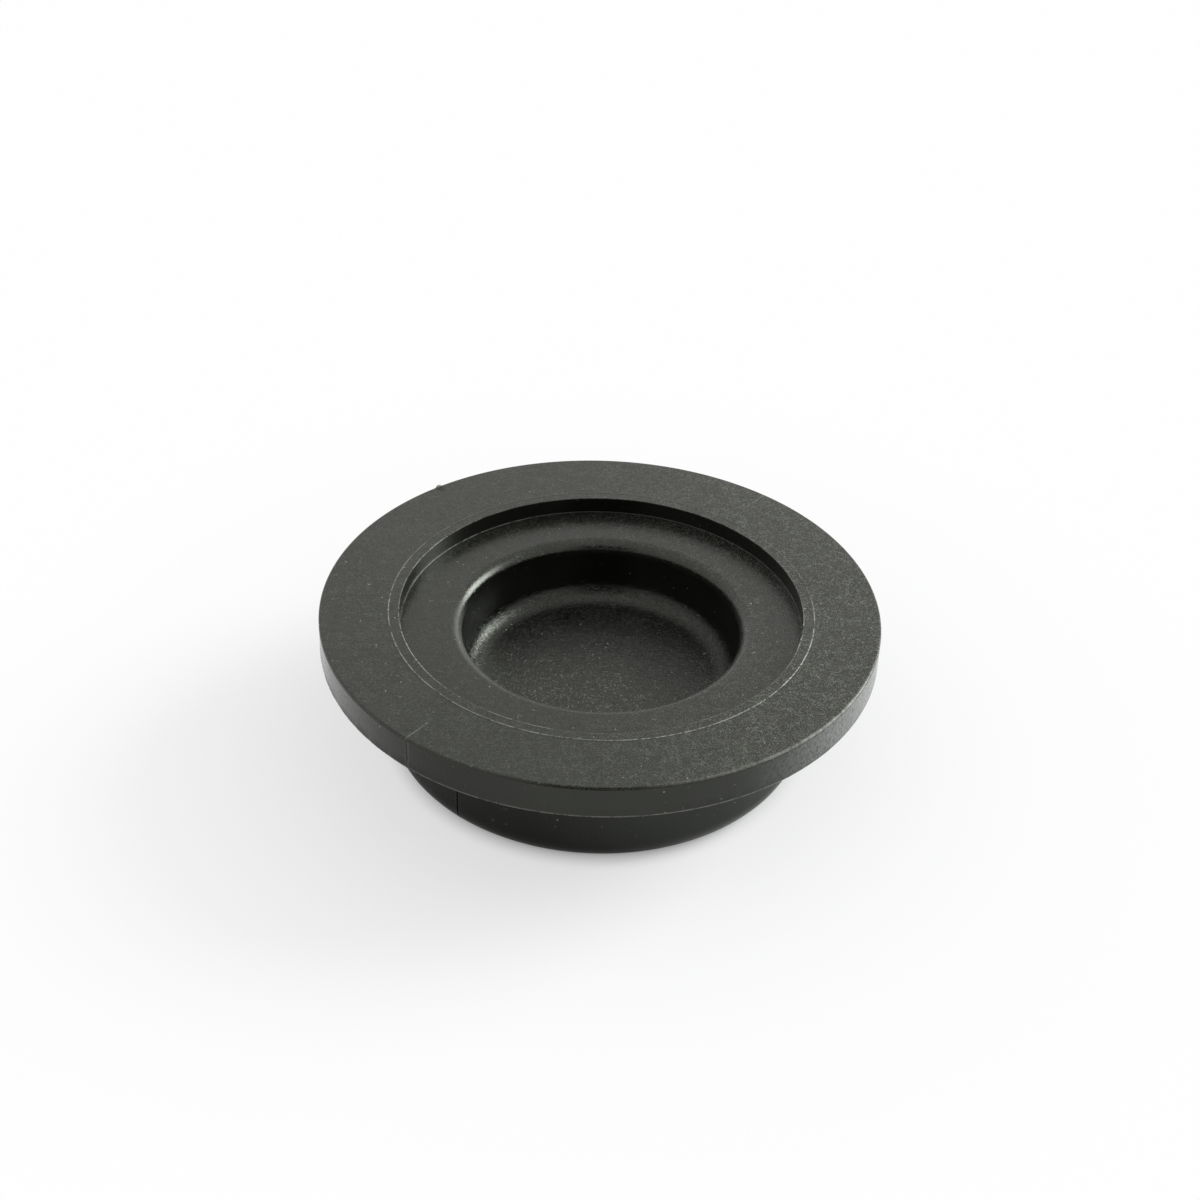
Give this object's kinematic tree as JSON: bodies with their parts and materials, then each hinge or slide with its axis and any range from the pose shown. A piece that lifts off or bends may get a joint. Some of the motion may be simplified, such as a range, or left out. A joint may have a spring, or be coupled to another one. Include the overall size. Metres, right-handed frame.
{
  "type": "flange plug",
  "caption": "Round moulded plug: a wide flat flange with a shallow recess and a deep round well in its top, and a short plain plug body below.",
  "frame": {"origin": "centre of the plug body's flat end, on the surface it stands on", "axes": "+Z along the plug's axis, up through the flange"},
  "size_m": [0.06, 0.06, 0.0163],
  "materials": {
    "flange_plug": "as moulded, matte black with a fine fibre grain"
  },
  "bodies": {
    "root": {"flange_plug": "flange_plug"}
  },
  "joints": []
}
